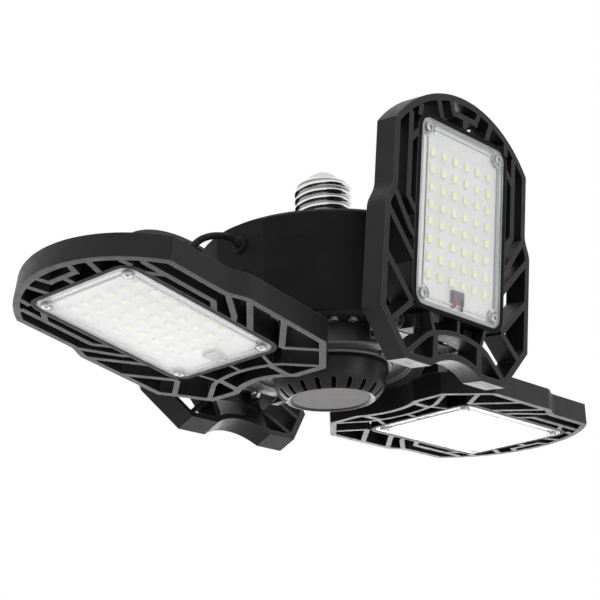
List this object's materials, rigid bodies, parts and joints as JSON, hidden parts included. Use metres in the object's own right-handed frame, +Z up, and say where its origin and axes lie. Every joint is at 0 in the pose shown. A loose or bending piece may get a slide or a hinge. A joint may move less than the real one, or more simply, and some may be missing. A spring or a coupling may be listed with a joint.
{
  "type": "folding garage lamp",
  "caption": "Black screw-in garage lamp with four ribbed lamp panels that fold on hinges round a drum-shaped hub with a slotted vent cap.",
  "frame": {"origin": "tip of the centre contact of the lamp base", "axes": "+Z up into the lampholder along the hub's axis, +X towards panel c, +Y towards panel d"},
  "size_m": [0.3134, 0.1928, 0.1225],
  "materials": {
    "black_plastic": "satin",
    "gloss_black_plastic": "glossy",
    "white_insulator": "glossy",
    "black_rubber": "matte",
    "nickel_plate": "polished",
    "contact_metal": "worn",
    "bright_steel": "plated",
    "dark_steel": "satin",
    "nylon": "satin",
    "grey_plate": "satin",
    "white_aluminium": "matte white solder mask",
    "yellow_phosphor": "matte",
    "terminal_plastic": "satin",
    "clear_silicone": "translucent",
    "clear_plastic": "clear, slightly frosted",
    "circuit_board": "satin",
    "circuit_parts": "mixed",
    "wire_sleeve": "glossy"
  },
  "bodies": {
    "hub": {"centre_contact": "contact_metal", "base_insulator": "white_insulator", "screw_shell": "nickel_plate", "top_cover": "black_plastic", "driver_housing": "black_plastic", "housing_screws": "dark_steel", "driver_board": "circuit_board", "driver_parts": "circuit_parts", "supply_wires": "wire_sleeve", "lead_grommets": "black_rubber", "hinge_carrier": "black_plastic", "carrier_screws": "dark_steel", "vent_cap": "gloss_black_plastic", "cap_plate": "grey_plate", "lead_a": "black_rubber", "lead_b": "black_rubber", "lead_c": "black_rubber", "lead_d": "black_rubber"},
    "panel_a": {"frame_a": "black_plastic", "led_board_a": "white_aluminium", "led_chips_a": "yellow_phosphor", "wire_terminal_a": "terminal_plastic", "lens_seal_a": "clear_silicone", "lens_a": "clear_plastic", "lens_screws_a": "bright_steel", "hinge_bolts_a": "bright_steel", "hinge_nuts_a": "bright_steel", "friction_washers_a": "nylon"},
    "panel_b": {"frame_b": "black_plastic", "led_board_b": "white_aluminium", "led_chips_b": "yellow_phosphor", "wire_terminal_b": "terminal_plastic", "lens_seal_b": "clear_silicone", "lens_b": "clear_plastic", "lens_screws_b": "bright_steel", "hinge_bolts_b": "bright_steel", "hinge_nuts_b": "bright_steel", "friction_washers_b": "nylon"},
    "panel_c": {"frame_c": "black_plastic", "led_board_c": "white_aluminium", "led_chips_c": "yellow_phosphor", "wire_terminal_c": "terminal_plastic", "lens_seal_c": "clear_silicone", "lens_c": "clear_plastic", "lens_screws_c": "bright_steel", "hinge_bolts_c": "bright_steel", "hinge_nuts_c": "bright_steel", "friction_washers_c": "nylon"},
    "panel_d": {"frame_d": "black_plastic", "led_board_d": "white_aluminium", "led_chips_d": "yellow_phosphor", "wire_terminal_d": "terminal_plastic", "lens_seal_d": "clear_silicone", "lens_d": "clear_plastic", "lens_screws_d": "bright_steel", "hinge_bolts_d": "bright_steel", "hinge_nuts_d": "bright_steel", "friction_washers_d": "nylon"}
  },
  "joints": [
    {"name": "fold_a", "type": "hinge", "parent": "hub", "child": "panel_a", "pos_m": [-0.0562, 0, -0.09], "axis": [0, 1, 0], "range_deg": [-11, 79], "deforming": ["lead_a"]},
    {"name": "fold_b", "type": "hinge", "parent": "hub", "child": "panel_b", "pos_m": [0, -0.0562, -0.09], "axis": [-1, 0, 0], "range_deg": [-83, 7], "deforming": ["lead_b"]},
    {"name": "fold_c", "type": "hinge", "parent": "hub", "child": "panel_c", "pos_m": [0.0562, 0, -0.09], "axis": [0, -1, 0], "range_deg": [0, 90], "deforming": ["lead_c"]},
    {"name": "fold_d", "type": "hinge", "parent": "hub", "child": "panel_d", "pos_m": [0, 0.0562, -0.09], "axis": [1, 0, 0], "range_deg": [-67, 23], "deforming": ["lead_d"]}
  ]
}
